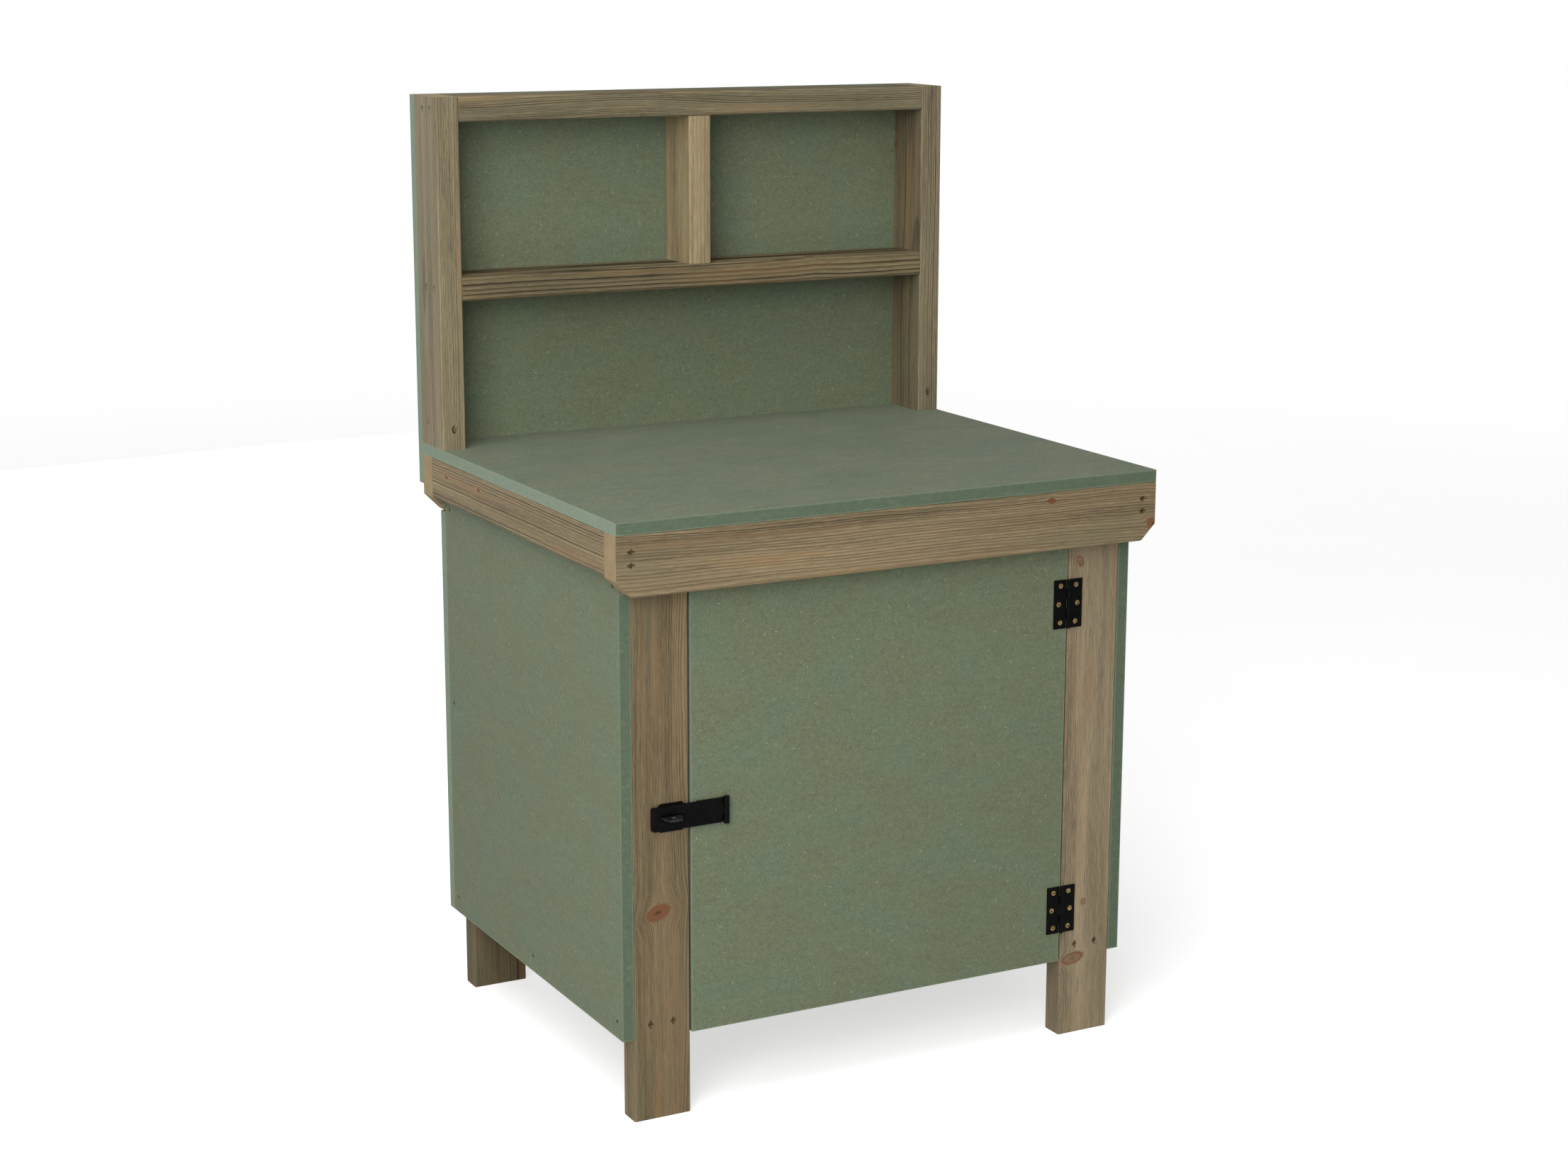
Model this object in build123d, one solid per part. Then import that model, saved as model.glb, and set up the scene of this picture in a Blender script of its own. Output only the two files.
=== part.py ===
"""Potting bench: a softwood frame clad in moisture resistant MDF.

A cupboard with one door stands under the worktop, and a back board with posts, a shelf and a
divider stands on it.  Millimetres, +X to the bench's right as seen from the front, +Y to the
back, +Z up.  The origin is on the floor, under the middle of the bench's overall box.
Each piece is one solid in parts/NODE.step; like fasteners share one file as separate solids.
"""
import os
from collections import namedtuple

from build123d import *

# ---- Driving dimensions -------------------------------------------------------------------
WIDTH = 890.0            # worktop, left to right
WORKTOP_DEPTH = 728.0    # worktop, front to back, up to the back board
WORK_HEIGHT = 890.0      # floor to the top of the worktop
OVERALL_HEIGHT = 1430.0  # floor to the top of the posts
BOARD = 18.0             # thickness of every MDF board
THICK = 38.0             # thickness of every planed softwood length
WIDE = 89.0              # wide softwood: legs, posts, front and back rails, shelf
NARROW = 63.0            # narrow softwood: side rails and base frame
EASED = 3.0              # radius on the long corners of the softwood

RAIL_CHAMFER = 25.0      # sawn off the lower corners of the front and back rails
PANEL_BOTTOM = 126.0     # floor to the bottom edge of the cladding and of the base frame
BACK_BOARD_BOTTOM = 824.0  # floor to the bottom edge of the upper back board
SHELF_GAP = 230.0        # worktop to the underside of the upper shelf
SHELF_TONGUE_GAP = 2.0   # bottom shelf to the back of the closed door

DOOR_GAP = 3.0           # round the door, to the legs and the front rail
DOOR_BOTTOM = 122.0      # floor to the bottom edge of the door

# ---- Places that follow from them ---------------------------------------------------------
X_SIDE = WIDTH / 2                        # outer face of the side rails
X_LEG = X_SIDE - THICK                    # outer face of the legs
X_LEG_IN = X_LEG - WIDE                   # face of the legs towards the doorway
X_CLADDING = X_LEG + BOARD                # outer face of the side panels
X_POST_IN = X_SIDE - THICK                # inner face of the posts

Y_FRONT = -(WORKTOP_DEPTH + BOARD) / 2    # front of the front rail
Y_LEG_FRONT = Y_FRONT + THICK             # front of the front legs and of the door
Y_LEG_BACK = Y_LEG_FRONT + THICK          # back of the front legs
Y_BACK = Y_FRONT + WORKTOP_DEPTH          # back of the worktop and of the back rail
Y_REAR_LEG_BACK = Y_BACK - THICK          # back of the rear legs
Y_REAR_LEG_FRONT = Y_REAR_LEG_BACK - THICK
Y_POST_FRONT = Y_BACK - WIDE              # front of the posts, shelf, divider and top rail
Y_DOOR_BACK = Y_LEG_FRONT + BOARD

Z_FRAME_TOP = WORK_HEIGHT - BOARD         # underside of the worktop
Z_RAIL_BOTTOM = Z_FRAME_TOP - WIDE
Z_SIDE_RAIL_BOTTOM = Z_FRAME_TOP - NARROW
Z_BASE_TOP = PANEL_BOTTOM + THICK         # top of the base frame, laid flat
Z_SHELF_BOTTOM = WORK_HEIGHT + SHELF_GAP
Z_SHELF_TOP = Z_SHELF_BOTTOM + THICK
Z_TOP_RAIL_BOTTOM = OVERALL_HEIGHT - THICK
Z_DOOR_TOP = Z_RAIL_BOTTOM - DOOR_GAP

LEFT, RIGHT = -1, 1
SIDE_NAMES = {LEFT: "left", RIGHT: "right"}

parts = {}


# ---- Boards and lengths -------------------------------------------------------------------
def block(x, y, z):
    """A box from its low and high limits on each axis."""
    limits = [sorted(pair) for pair in (x, y, z)]
    size = [high - low for low, high in limits]
    middle = [(high + low) / 2 for low, high in limits]
    return Pos(*middle) * Box(*size)


def timber(x, y, z, grain):
    """A planed softwood length whose four long corners, along the grain, are eased."""
    piece = block(x, y, z)
    return fillet(piece.edges().filter_by(grain), EASED)


def span(side, inner, outer):
    """X limits of a piece that lies between two distances from the middle, on one side."""
    return (side * inner, side * outer)


def long_rail(y):
    """A front or back rail: full width, with its two lower corners sawn off."""
    rail = timber((-X_SIDE, X_SIDE), y, (Z_RAIL_BOTTOM, Z_FRAME_TOP), Axis.X)
    for side in (LEFT, RIGHT):
        corner = (side * X_SIDE, Z_RAIL_BOTTOM)
        outline = Polyline(
            corner,
            (corner[0] - side * RAIL_CHAMFER, corner[1]),
            (corner[0], corner[1] + RAIL_CHAMFER),
            close=True,
        )
        waste = extrude(Plane.XZ * make_face(outline), amount=WORKTOP_DEPTH, both=True)
        rail -= waste
    return rail


def build_frame():
    """The worktop's frame and the four legs inside it."""
    parts["front_rail"] = long_rail((Y_FRONT, Y_LEG_FRONT))
    parts["back_rail"] = long_rail((Y_REAR_LEG_BACK, Y_BACK))
    for side, name in SIDE_NAMES.items():
        parts[f"{name}_side_rail"] = timber(
            span(side, X_LEG, X_SIDE),
            (Y_LEG_FRONT, Y_REAR_LEG_BACK),
            (Z_SIDE_RAIL_BOTTOM, Z_FRAME_TOP),
            Axis.Y,
        )
        leg_x = span(side, X_LEG_IN, X_LEG)
        leg_z = (0, Z_FRAME_TOP)
        parts[f"front_{name}_leg"] = timber(leg_x, (Y_LEG_FRONT, Y_LEG_BACK), leg_z, Axis.Z)
        parts[f"back_{name}_leg"] = timber(
            leg_x, (Y_REAR_LEG_FRONT, Y_REAR_LEG_BACK), leg_z, Axis.Z
        )


def build_base():
    """The base frame, laid flat between the legs, and the board that lies on it."""
    base_z = (PANEL_BOTTOM, Z_BASE_TOP)
    front_y = (Y_LEG_BACK, Y_LEG_BACK + NARROW)
    back_y = (Y_REAR_LEG_FRONT - NARROW, Y_REAR_LEG_FRONT)
    parts["base_front_rail"] = timber((-X_LEG, X_LEG), front_y, base_z, Axis.X)
    parts["base_back_rail"] = timber((-X_LEG, X_LEG), back_y, base_z, Axis.X)
    for side, name in SIDE_NAMES.items():
        parts[f"base_{name}_rail"] = timber(
            span(side, X_LEG - NARROW, X_LEG), (front_y[1], back_y[0]), base_z, Axis.Y
        )

    shelf_z = (Z_BASE_TOP, Z_BASE_TOP + BOARD)
    between_legs_y = (Y_DOOR_BACK + SHELF_TONGUE_GAP, Y_REAR_LEG_BACK)
    shelf = block((-X_LEG, X_LEG), (Y_LEG_BACK, Y_REAR_LEG_FRONT), shelf_z)
    shelf += block((-X_LEG_IN, X_LEG_IN), between_legs_y, shelf_z)
    parts["bottom_shelf"] = shelf


def build_cladding():
    """The worktop board, the side panels and the two back boards."""
    full_width = (-X_SIDE, X_SIDE)
    parts["worktop"] = block(full_width, (Y_FRONT, Y_BACK), (Z_FRAME_TOP, WORK_HEIGHT))
    for side, name in SIDE_NAMES.items():
        parts[f"{name}_side_panel"] = block(
            span(side, X_LEG, X_CLADDING),
            (Y_LEG_FRONT, Y_REAR_LEG_BACK),
            (PANEL_BOTTOM, Z_SIDE_RAIL_BOTTOM),
        )
    parts["lower_back_panel"] = block(
        (-X_CLADDING, X_CLADDING),
        (Y_REAR_LEG_BACK, Y_REAR_LEG_BACK + BOARD),
        (PANEL_BOTTOM, Z_RAIL_BOTTOM),
    )
    parts["upper_back_panel"] = block(
        full_width, (Y_BACK, Y_BACK + BOARD), (BACK_BOARD_BOTTOM, OVERALL_HEIGHT)
    )


def build_upper_unit():
    """The posts on the worktop, and the rail, shelf and divider between them."""
    depth = (Y_POST_FRONT, Y_BACK)
    for side, name in SIDE_NAMES.items():
        parts[f"{name}_post"] = timber(
            span(side, X_POST_IN, X_SIDE), depth, (WORK_HEIGHT, OVERALL_HEIGHT), Axis.Z
        )
    between_posts = (-X_POST_IN, X_POST_IN)
    parts["top_rail"] = timber(
        between_posts, depth, (Z_TOP_RAIL_BOTTOM, OVERALL_HEIGHT), Axis.X
    )
    parts["upper_shelf"] = timber(between_posts, depth, (Z_SHELF_BOTTOM, Z_SHELF_TOP), Axis.X)
    parts["divider"] = timber(
        (-THICK / 2, THICK / 2), depth, (Z_SHELF_TOP, Z_TOP_RAIL_BOTTOM), Axis.Z
    )


def build_door():
    """The door board, flush with the legs' front faces."""
    parts["door"] = block(
        (-X_LEG_IN + DOOR_GAP, X_LEG_IN - DOOR_GAP),
        (Y_LEG_FRONT, Y_DOOR_BACK),
        (DOOR_BOTTOM, Z_DOOR_TOP),
    )


# ---- Screws and pins ----------------------------------------------------------------------
ScrewKind = namedtuple("ScrewKind", "length shank head sunk")

LONG_SCREW = ScrewKind(length=80.0, shank=3.8, head=7.4, sunk=2.5)
LEG_SCREW = ScrewKind(length=65.0, shank=3.8, head=7.4, sunk=2.5)
BASE_SCREW = ScrewKind(length=100.0, shank=3.8, head=7.4, sunk=2.5)
TOE_SCREW = ScrewKind(length=80.0, shank=3.8, head=7.4, sunk=7.5)
PANEL_SCREW = ScrewKind(length=35.0, shank=3.0, head=6.4, sunk=0.8)
HARDWARE_SCREW = ScrewKind(length=16.0, shank=3.2, head=7.8, sunk=0.0)

HEAD_RIM = 0.4           # cylindrical edge of a countersunk head
POINT = 1.6              # screw point's length, in shank diameters
RECESS_DEPTH = 1.3       # cross recess for the driver
RECESS_REACH = 0.62      # its span across the head, as a share of the head
RECESS_SLOT = 0.16       # its slot's width, as a share of the head

PIN_LENGTH = 35.0        # lost-head pins that hold the worktop down
PIN_SHANK = 2.6
PIN_HEAD = 3.6
PIN_HEAD_LENGTH = 2.5
PIN_SUNK = 0.6

# Frame: distances in from the ends and edges of the piece that each screw goes through.
RAIL_SCREW_IN = 23.0               # from a rail's end
RAIL_SCREW_DROPS = (42.0, 61.0)    # below the worktop's top
LEG_HEAD_SCREW_IN = 22.0           # from a leg's edges, and from the rail's top and bottom
FOOT_SCREWS_IN = (26.0, 62.0)      # from a leg's outer edge
BASE_CORNER_IN = 44.0              # from a leg's outer edge
SHELF_SCREW_IN = 45.0              # from the legs to the middle of the base rail
SHELF_SCREWS_X = (-325.0, 0.0, 325.0)

# Cladding: heights are from the floor.
PANEL_LOW_SCREW_UP = 25.0          # above a side panel's bottom edge
PANEL_HIGH_SCREW_DOWN = 19.0       # below its top edge
PANEL_MIDDLE_SCREW = 476.0
BACK_PANEL_SCREWS = (200.0, PANEL_MIDDLE_SCREW, 740.0)
POST_BACK_SCREWS = (960.0, 1090.0, 1290.0)
SHELF_BACK_SCREWS_X = (-210.0, 210.0)
DIVIDER_BACK_SCREW = 1275.0
RAIL_BACK_SCREWS_X = (-300.0, 0.0, 300.0)
RAIL_BACK_SCREW = 848.0

# Upper unit and worktop.
POST_SCREWS_IN = (34.0, 66.0)      # from a post's back edge
DIVIDER_SCREW_IN = 24.0            # from the divider's front and back edges
TOE_SLOPE = 1.5                    # millimetres down for each one across
TOE_CLEAR = 8.0                    # length of the well that a toe screw's driver needs
TOE_FRONT_UP = 32.0                # above the worktop, on a post's front edge
TOE_SIDE_UP = 40.0                 # above the worktop, on a post's outer face
TOE_SIDE_IN = 26.0                 # from a post's back edge
FRONT_PIN_IN = (23.0, 26.0)        # from the worktop's side and front edges
BACK_PIN_IN = (12.0, 10.0)         # from its side and back edges


def turned(outline):
    """A solid of revolution about Z from (radius, height) points."""
    return revolve(Plane.XZ * make_face(Polyline(*outline, close=True)), Axis.Z)


def screw_blank(kind):
    """A countersunk screw without its recess, head up, with the head's flat at Z 0."""
    shank = kind.shank / 2
    head = kind.head / 2
    outline = [
        (0, 0),
        (head, 0),
        (head, -HEAD_RIM),
        (shank, -HEAD_RIM - (head - shank)),
        (shank, -kind.length + POINT * kind.shank),
        (0, -kind.length),
    ]
    return turned(outline)


def screw(kind):
    """The finished screw, with its cross recess."""
    reach = kind.head * RECESS_REACH
    slot = kind.head * RECESS_SLOT
    top = Pos(0, 0, -RECESS_DEPTH / 2)
    cross = top * Box(reach, slot, RECESS_DEPTH) + top * Box(slot, reach, RECESS_DEPTH)
    return screw_blank(kind) - cross


def countersink(kind, clear):
    """The screw's own space and a well above its head, to be cut out of the boards."""
    well_height = kind.sunk + clear
    well = Pos(0, 0, well_height / 2) * Cylinder(kind.head / 2, well_height)
    return screw_blank(kind) + well if well_height else screw_blank(kind)


def placed(shape, at, heading):
    """The shape, made head up at the origin, moved to a point with its tip along heading."""
    return Plane(origin=at, z_dir=-heading).location * shape


def drive(group, kind, points, heading, into, clear=0.0):
    """Drive one screw at each surface point, and cut its room out of the boards it enters."""
    heading = Vector(*heading).normalized()
    fasteners = parts.setdefault(group, [])
    for point in points:
        at = Vector(*point) + heading * kind.sunk
        fasteners.append(placed(screw(kind), at, heading))
        room = placed(countersink(kind, clear), at, heading)
        for name in into:
            parts[name] = parts[name] - room


def pin_outline():
    """A lost-head pin, head up, with its top at Z 0."""
    shank = PIN_SHANK / 2
    head = PIN_HEAD / 2
    return [
        (0, 0),
        (head, 0),
        (head, -PIN_HEAD_LENGTH + (head - shank)),
        (shank, -PIN_HEAD_LENGTH),
        (shank, -PIN_LENGTH + PIN_SHANK),
        (0, -PIN_LENGTH),
    ]


def fix_frame():
    """Front and back rails to the side rails, and every leg to its rail."""
    screw_x = X_SIDE - RAIL_SCREW_IN
    rail_z = [WORK_HEIGHT - drop for drop in RAIL_SCREW_DROPS]
    ends = [(side * screw_x, z) for side in (LEFT, RIGHT) for z in rail_z]
    side_rails = ["left_side_rail", "right_side_rail"]
    front = [(x, Y_FRONT, z) for x, z in ends]
    back = [(x, Y_BACK, z) for x, z in ends]
    drive("front_rail_screws", LONG_SCREW, front, (0, 1, 0), ["front_rail"] + side_rails)
    drive("back_rail_screws", LONG_SCREW, back, (0, -1, 0), ["back_rail"] + side_rails)

    head_z = (Z_RAIL_BOTTOM + LEG_HEAD_SCREW_IN, Z_FRAME_TOP - LEG_HEAD_SCREW_IN)
    for side, name in SIDE_NAMES.items():
        head_x = span(side, X_LEG - LEG_HEAD_SCREW_IN, X_LEG_IN + LEG_HEAD_SCREW_IN)
        inside = list(zip(head_x, head_z))
        front = [(x, Y_LEG_BACK, z) for x, z in inside]
        back = [(x, Y_REAR_LEG_FRONT, z) for x, z in inside]
        drive("leg_head_screws", LEG_SCREW, front, (0, -1, 0), [f"front_{name}_leg", "front_rail"])
        drive("leg_head_screws", LEG_SCREW, back, (0, 1, 0), [f"back_{name}_leg", "back_rail"])


def fix_base():
    """Legs to the base frame, the base frame's own corners, and the board on top of it."""
    middle_z = (PANEL_BOTTOM + Z_BASE_TOP) / 2
    for side, name in SIDE_NAMES.items():
        foot_x = [side * (X_LEG - inset) for inset in FOOT_SCREWS_IN]
        front = [(x, Y_LEG_FRONT, middle_z) for x in foot_x]
        back = [(x, Y_REAR_LEG_BACK, middle_z) for x in foot_x]
        into_front = [f"front_{name}_leg", "base_front_rail"]
        into_back = [f"back_{name}_leg", "base_back_rail"]
        drive("leg_foot_screws", LEG_SCREW, front, (0, 1, 0), into_front)
        drive("leg_foot_screws", LEG_SCREW, back, (0, -1, 0), into_back)

        corner_x = side * (X_LEG - BASE_CORNER_IN)
        side_rail = f"base_{name}_rail"
        front = [(corner_x, Y_LEG_BACK, middle_z)]
        back = [(corner_x, Y_REAR_LEG_FRONT, middle_z)]
        drive("base_frame_screws", BASE_SCREW, front, (0, 1, 0), ["base_front_rail", side_rail])
        drive("base_frame_screws", BASE_SCREW, back, (0, -1, 0), ["base_back_rail", side_rail])

    shelf_top = Z_BASE_TOP + BOARD
    rows = {
        "base_front_rail": Y_LEG_BACK + SHELF_SCREW_IN,
        "base_back_rail": Y_REAR_LEG_FRONT - SHELF_SCREW_IN,
    }
    for rail, y in rows.items():
        points = [(x, y, shelf_top) for x in SHELF_SCREWS_X]
        drive("bottom_shelf_screws", PANEL_SCREW, points, (0, 0, -1), ["bottom_shelf", rail])


def fix_cladding():
    """Side panels and back boards to the frame behind them."""
    low = PANEL_BOTTOM + PANEL_LOW_SCREW_UP
    high = Z_SIDE_RAIL_BOTTOM - PANEL_HIGH_SCREW_DOWN
    front_y = Y_LEG_FRONT + THICK / 2
    centre_y = (Y_LEG_FRONT + Y_REAR_LEG_BACK) / 2
    back_y = Y_REAR_LEG_BACK - THICK / 2
    for side, name in SIDE_NAMES.items():
        x = side * X_CLADDING
        group = f"{name}_panel_screws"
        panel = f"{name}_side_panel"
        inwards = (-side, 0, 0)
        front = [(x, front_y, z) for z in (low, high)]
        back = [(x, back_y, z) for z in (low, PANEL_MIDDLE_SCREW, high)]
        drive(group, PANEL_SCREW, front, inwards, [panel, f"front_{name}_leg"])
        drive(group, PANEL_SCREW, back, inwards, [panel, f"back_{name}_leg"])
        drive(group, PANEL_SCREW, [(x, centre_y, low)], inwards, [panel, f"base_{name}_rail"])

        leg_x = side * (X_LEG + X_LEG_IN) / 2
        points = [(leg_x, Y_REAR_LEG_BACK + BOARD, z) for z in BACK_PANEL_SCREWS]
        into = ["lower_back_panel", f"back_{name}_leg"]
        drive("lower_back_screws", PANEL_SCREW, points, (0, -1, 0), into)

    rail_middle = OVERALL_HEIGHT - THICK / 2
    shelf_middle = Z_SHELF_BOTTOM + THICK / 2
    targets = {
        "left_post": [(-X_SIDE + THICK / 2, z) for z in POST_BACK_SCREWS],
        "right_post": [(X_SIDE - THICK / 2, z) for z in POST_BACK_SCREWS],
        "top_rail": [(x, rail_middle) for x in SHELF_BACK_SCREWS_X],
        "upper_shelf": [(x, shelf_middle) for x in SHELF_BACK_SCREWS_X],
        "divider": [(0.0, DIVIDER_BACK_SCREW)],
        "back_rail": [(x, RAIL_BACK_SCREW) for x in RAIL_BACK_SCREWS_X],
    }
    for target, places in targets.items():
        points = [(x, Y_BACK + BOARD, z) for x, z in places]
        drive("upper_back_screws", PANEL_SCREW, points, (0, -1, 0), ["upper_back_panel", target])


def fix_upper_unit():
    """Posts to the shelf, top rail and worktop, and the divider between shelf and rail."""
    rows_y = [Y_BACK - inset for inset in POST_SCREWS_IN]
    rail_z = OVERALL_HEIGHT - THICK / 2
    shelf_z = Z_SHELF_BOTTOM + THICK / 2
    for side, name in SIDE_NAMES.items():
        post = f"{name}_post"
        x = side * X_SIDE
        rail = [(x, y, rail_z) for y in rows_y]
        shelf = [(x, y, shelf_z) for y in rows_y]
        drive("post_screws", LONG_SCREW, rail, (-side, 0, 0), [post, "top_rail"])
        drive("post_screws", LONG_SCREW, shelf, (-side, 0, 0), [post, "upper_shelf"])

        post_x = side * (X_SIDE - THICK / 2)
        from_front = [(post_x, Y_POST_FRONT, WORK_HEIGHT + TOE_FRONT_UP)]
        from_side = [(x, Y_BACK - TOE_SIDE_IN, WORK_HEIGHT + TOE_SIDE_UP)]
        back = (0, 1, -TOE_SLOPE)
        inwards = (-side, 0, -TOE_SLOPE)
        into = [post, "worktop", f"{name}_side_rail", "back_rail"]
        drive("post_toe_screws", TOE_SCREW, from_front, back, into, clear=TOE_CLEAR)
        drive("post_toe_screws", TOE_SCREW, from_side, inwards, into, clear=TOE_CLEAR)

    divider_y = (Y_POST_FRONT + DIVIDER_SCREW_IN, Y_BACK - DIVIDER_SCREW_IN)
    top = [(0, y, OVERALL_HEIGHT) for y in divider_y]
    bottom = [(0, y, Z_SHELF_BOTTOM) for y in divider_y]
    drive("divider_screws", LONG_SCREW, top, (0, 0, -1), ["top_rail", "divider"])
    drive("divider_screws", LONG_SCREW, bottom, (0, 0, 1), ["upper_shelf", "divider"])


def pin_worktop():
    """Lost-head pins at the worktop's corners; the back two are under the posts."""
    pin = turned(pin_outline())
    well = Pos(0, 0, PIN_SUNK / 2) * Cylinder(PIN_HEAD / 2, PIN_SUNK)
    room = pin + well
    front_side, front_in = FRONT_PIN_IN
    back_side, back_in = BACK_PIN_IN
    places = {
        "front_rail": [(side * (X_SIDE - front_side), Y_FRONT + front_in) for side in SIDE_NAMES],
        "back_rail": [(side * (X_SIDE - back_side), Y_BACK - back_in) for side in SIDE_NAMES],
    }
    pins = parts.setdefault("worktop_pins", [])
    for rail, points in places.items():
        for x, y in points:
            spot = Pos(x, y, WORK_HEIGHT - PIN_SUNK)
            pins.append(spot * pin)
            for name in ("worktop", rail):
                parts[name] = parts[name] - spot * room


# ---- Butt hinges --------------------------------------------------------------------------
HINGE_HEIGHT = 75.0
HINGE_LEAF_REACH = 25.0   # pin's axis to the outer edge of a leaf
HINGE_LEAF = 1.6          # leaf thickness
KNUCKLE = 3.0             # outer radius of the knuckles
HINGE_PIN = 1.5           # radius
RUNNING = 0.05            # radial clearance of a pin in its knuckles
KNUCKLES = 5
KNUCKLE_GAP = 0.3         # between neighbouring knuckles, and round them in the other leaf
HINGE_SCREW_Z = 28.3      # outer screws above and below the middle one
HINGE_SCREW_X = (13.5, 16.6)  # outer and middle screws from the pin's axis
HINGE_FROM_TOP = 90.0     # door's top edge to the middle of the upper hinge
HINGE_FROM_BOTTOM = 84.0  # door's bottom edge to the middle of the lower hinge
HINGE_AXIS_X = X_LEG_IN - DOOR_GAP / 2
HINGE_AXIS_Y = Y_LEG_FRONT - KNUCKLE
HINGE_CENTRES = {
    "upper": Z_DOOR_TOP - HINGE_FROM_TOP,
    "lower": DOOR_BOTTOM + HINGE_FROM_BOTTOM,
}
DOOR_SIDE, LEG_SIDE = -1, 1


def hinge_leaf(side, own_knuckles, centre):
    """One leaf, flat on the wood, with its share of the knuckles rolled round the pin."""
    pitch = HINGE_HEIGHT / KNUCKLES
    low = centre - HINGE_HEIGHT / 2
    front = Y_LEG_FRONT - HINGE_LEAF
    axis = HINGE_AXIS_X
    plate_y = (front, Y_LEG_FRONT)
    outer = axis + side * HINGE_LEAF_REACH
    leaf = block((axis + side * KNUCKLE, outer), plate_y, (low, low + HINGE_HEIGHT))
    for index in range(KNUCKLES):
        bottom = low + index * pitch
        if index in own_knuckles:
            z = (bottom + KNUCKLE_GAP / 2, bottom + pitch - KNUCKLE_GAP / 2)
            height = z[1] - z[0]
            knuckle = Pos(axis, HINGE_AXIS_Y, sum(z) / 2) * Cylinder(KNUCKLE, height)
            web = block((axis, axis + side * KNUCKLE), plate_y, z)
            leaf += knuckle + web
        else:
            z = (bottom - KNUCKLE_GAP / 2, bottom + pitch + KNUCKLE_GAP / 2)
            reach = KNUCKLE + KNUCKLE_GAP
            leaf -= block((axis, axis + side * reach), plate_y, z)
    bore = Pos(axis, HINGE_AXIS_Y, centre) * Cylinder(HINGE_PIN + RUNNING, HINGE_HEIGHT)
    return leaf - bore


def build_hinges():
    """Two hinges: one leaf on the leg, one on the door, and the pin through both."""
    front = Y_LEG_FRONT - HINGE_LEAF
    outer_x, middle_x = HINGE_SCREW_X
    holes = [(outer_x, HINGE_SCREW_Z), (middle_x, 0.0), (outer_x, -HINGE_SCREW_Z)]
    for name, centre in HINGE_CENTRES.items():
        leg_leaf = f"{name}_hinge_leg_leaf"
        door_leaf = f"{name}_hinge_door_leaf"
        parts[leg_leaf] = hinge_leaf(LEG_SIDE, (0, 2, 4), centre)
        parts[door_leaf] = hinge_leaf(DOOR_SIDE, (1, 3), centre)
        spot = Pos(HINGE_AXIS_X, HINGE_AXIS_Y, centre)
        parts[f"{name}_hinge_pin"] = spot * Cylinder(HINGE_PIN, HINGE_HEIGHT)
        leg = [(HINGE_AXIS_X + x, front, centre + z) for x, z in holes]
        door = [(HINGE_AXIS_X - x, front, centre + z) for x, z in holes]
        into_leg = [leg_leaf, "front_right_leg"]
        drive("hinge_leg_screws", HARDWARE_SCREW, leg, (0, 1, 0), into_leg)
        drive("hinge_door_screws", HARDWARE_SCREW, door, (0, 1, 0), [door_leaf, "door"])


# ---- Hasp and staple ----------------------------------------------------------------------
HASP_Z = 451.0            # height of the hasp's middle
HASP_AXIS_IN = 184.0      # bench's left side to the hasp's axis
HASP_AXIS_X = -X_SIDE + HASP_AXIS_IN
HASP_BARREL = 4.35        # outer radius of its knuckles
HASP_PIN = 2.0            # radius
HASP_CLEAR = 0.35         # barrel to the door's face
HASP_AXIS_Y = Y_LEG_FRONT - HASP_BARREL - HASP_CLEAR
HASP_PLATE = 1.5          # thickness of the base and of the staple's plate
HASP_HALF_WIDTH = 18.0
HASP_BARREL_HALF = 20.0   # half the barrel's height
HASP_MIDDLE_HALF = 7.0    # half the height of the strap's own knuckle
STRAP_THICK = 2.0
STRAP_OFF_WOOD = 3.0      # leg's and door's face to the back of the strap
STRAP_BACK = Y_LEG_FRONT - STRAP_OFF_WOOD
STRAP_REACH = 118.0       # barrel's axis to the strap's end
STRAP_LIP = 6.0           # its end, bent in towards the leg
STRAP_LIP_DROP = 2.0
STRAP_SHOULDER = 7.0      # barrel's axis to the strap's full width
STRAP_CORNER = 4.0
SLOT_MIDDLE = 86.0        # barrel's axis to the middle of the slot, and of the staple
SLOT_HALF_LENGTH = 18.0
SLOT_HALF_HEIGHT = 4.5
BASE_REACH = 46.0
HASP_SCREWS_OUT = (16.0, 38.0)   # barrel's axis to the two columns of screws
HASP_SCREWS_UP = (-11.0, 11.0)
STAPLE_SCREWS_OUT = (-14.0, 14.0)
STAPLE_SCREWS_UP = (-12.0, 12.0)
STAPLE_HALF_WIDTH = 22.0
STAPLE_HALF_HEIGHT = 21.0
STAPLE_CORNER = 5.0
EYE_THICK = 3.0
EYE_HALF_ROOT = 16.0      # half its width at the plate
EYE_HALF_NOSE = 9.5       # half its width at the nose
EYE_REACH = 21.0          # leg's face to the nose
EYE_SHOULDER = 6.5        # leg's face to where it starts to narrow
EYE_HOLE = 5.0            # radius of the padlock hole
EYE_HOLE_OUT = 12.0       # leg's face to the hole's middle
EYE_NOSE_ROUND = 3.0
STAPLE_X = HASP_AXIS_X - SLOT_MIDDLE


def barrel(z, reach=HASP_BARREL):
    """A cylinder on the hasp's axis between two heights measured from its middle."""
    low, high = sorted(z)
    middle = HASP_Z + (low + high) / 2
    return Pos(HASP_AXIS_X, HASP_AXIS_Y, middle) * Cylinder(reach, high - low)


def heights(half):
    """Z limits of a piece that is centred on the hasp."""
    return (HASP_Z - half, HASP_Z + half)


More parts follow.
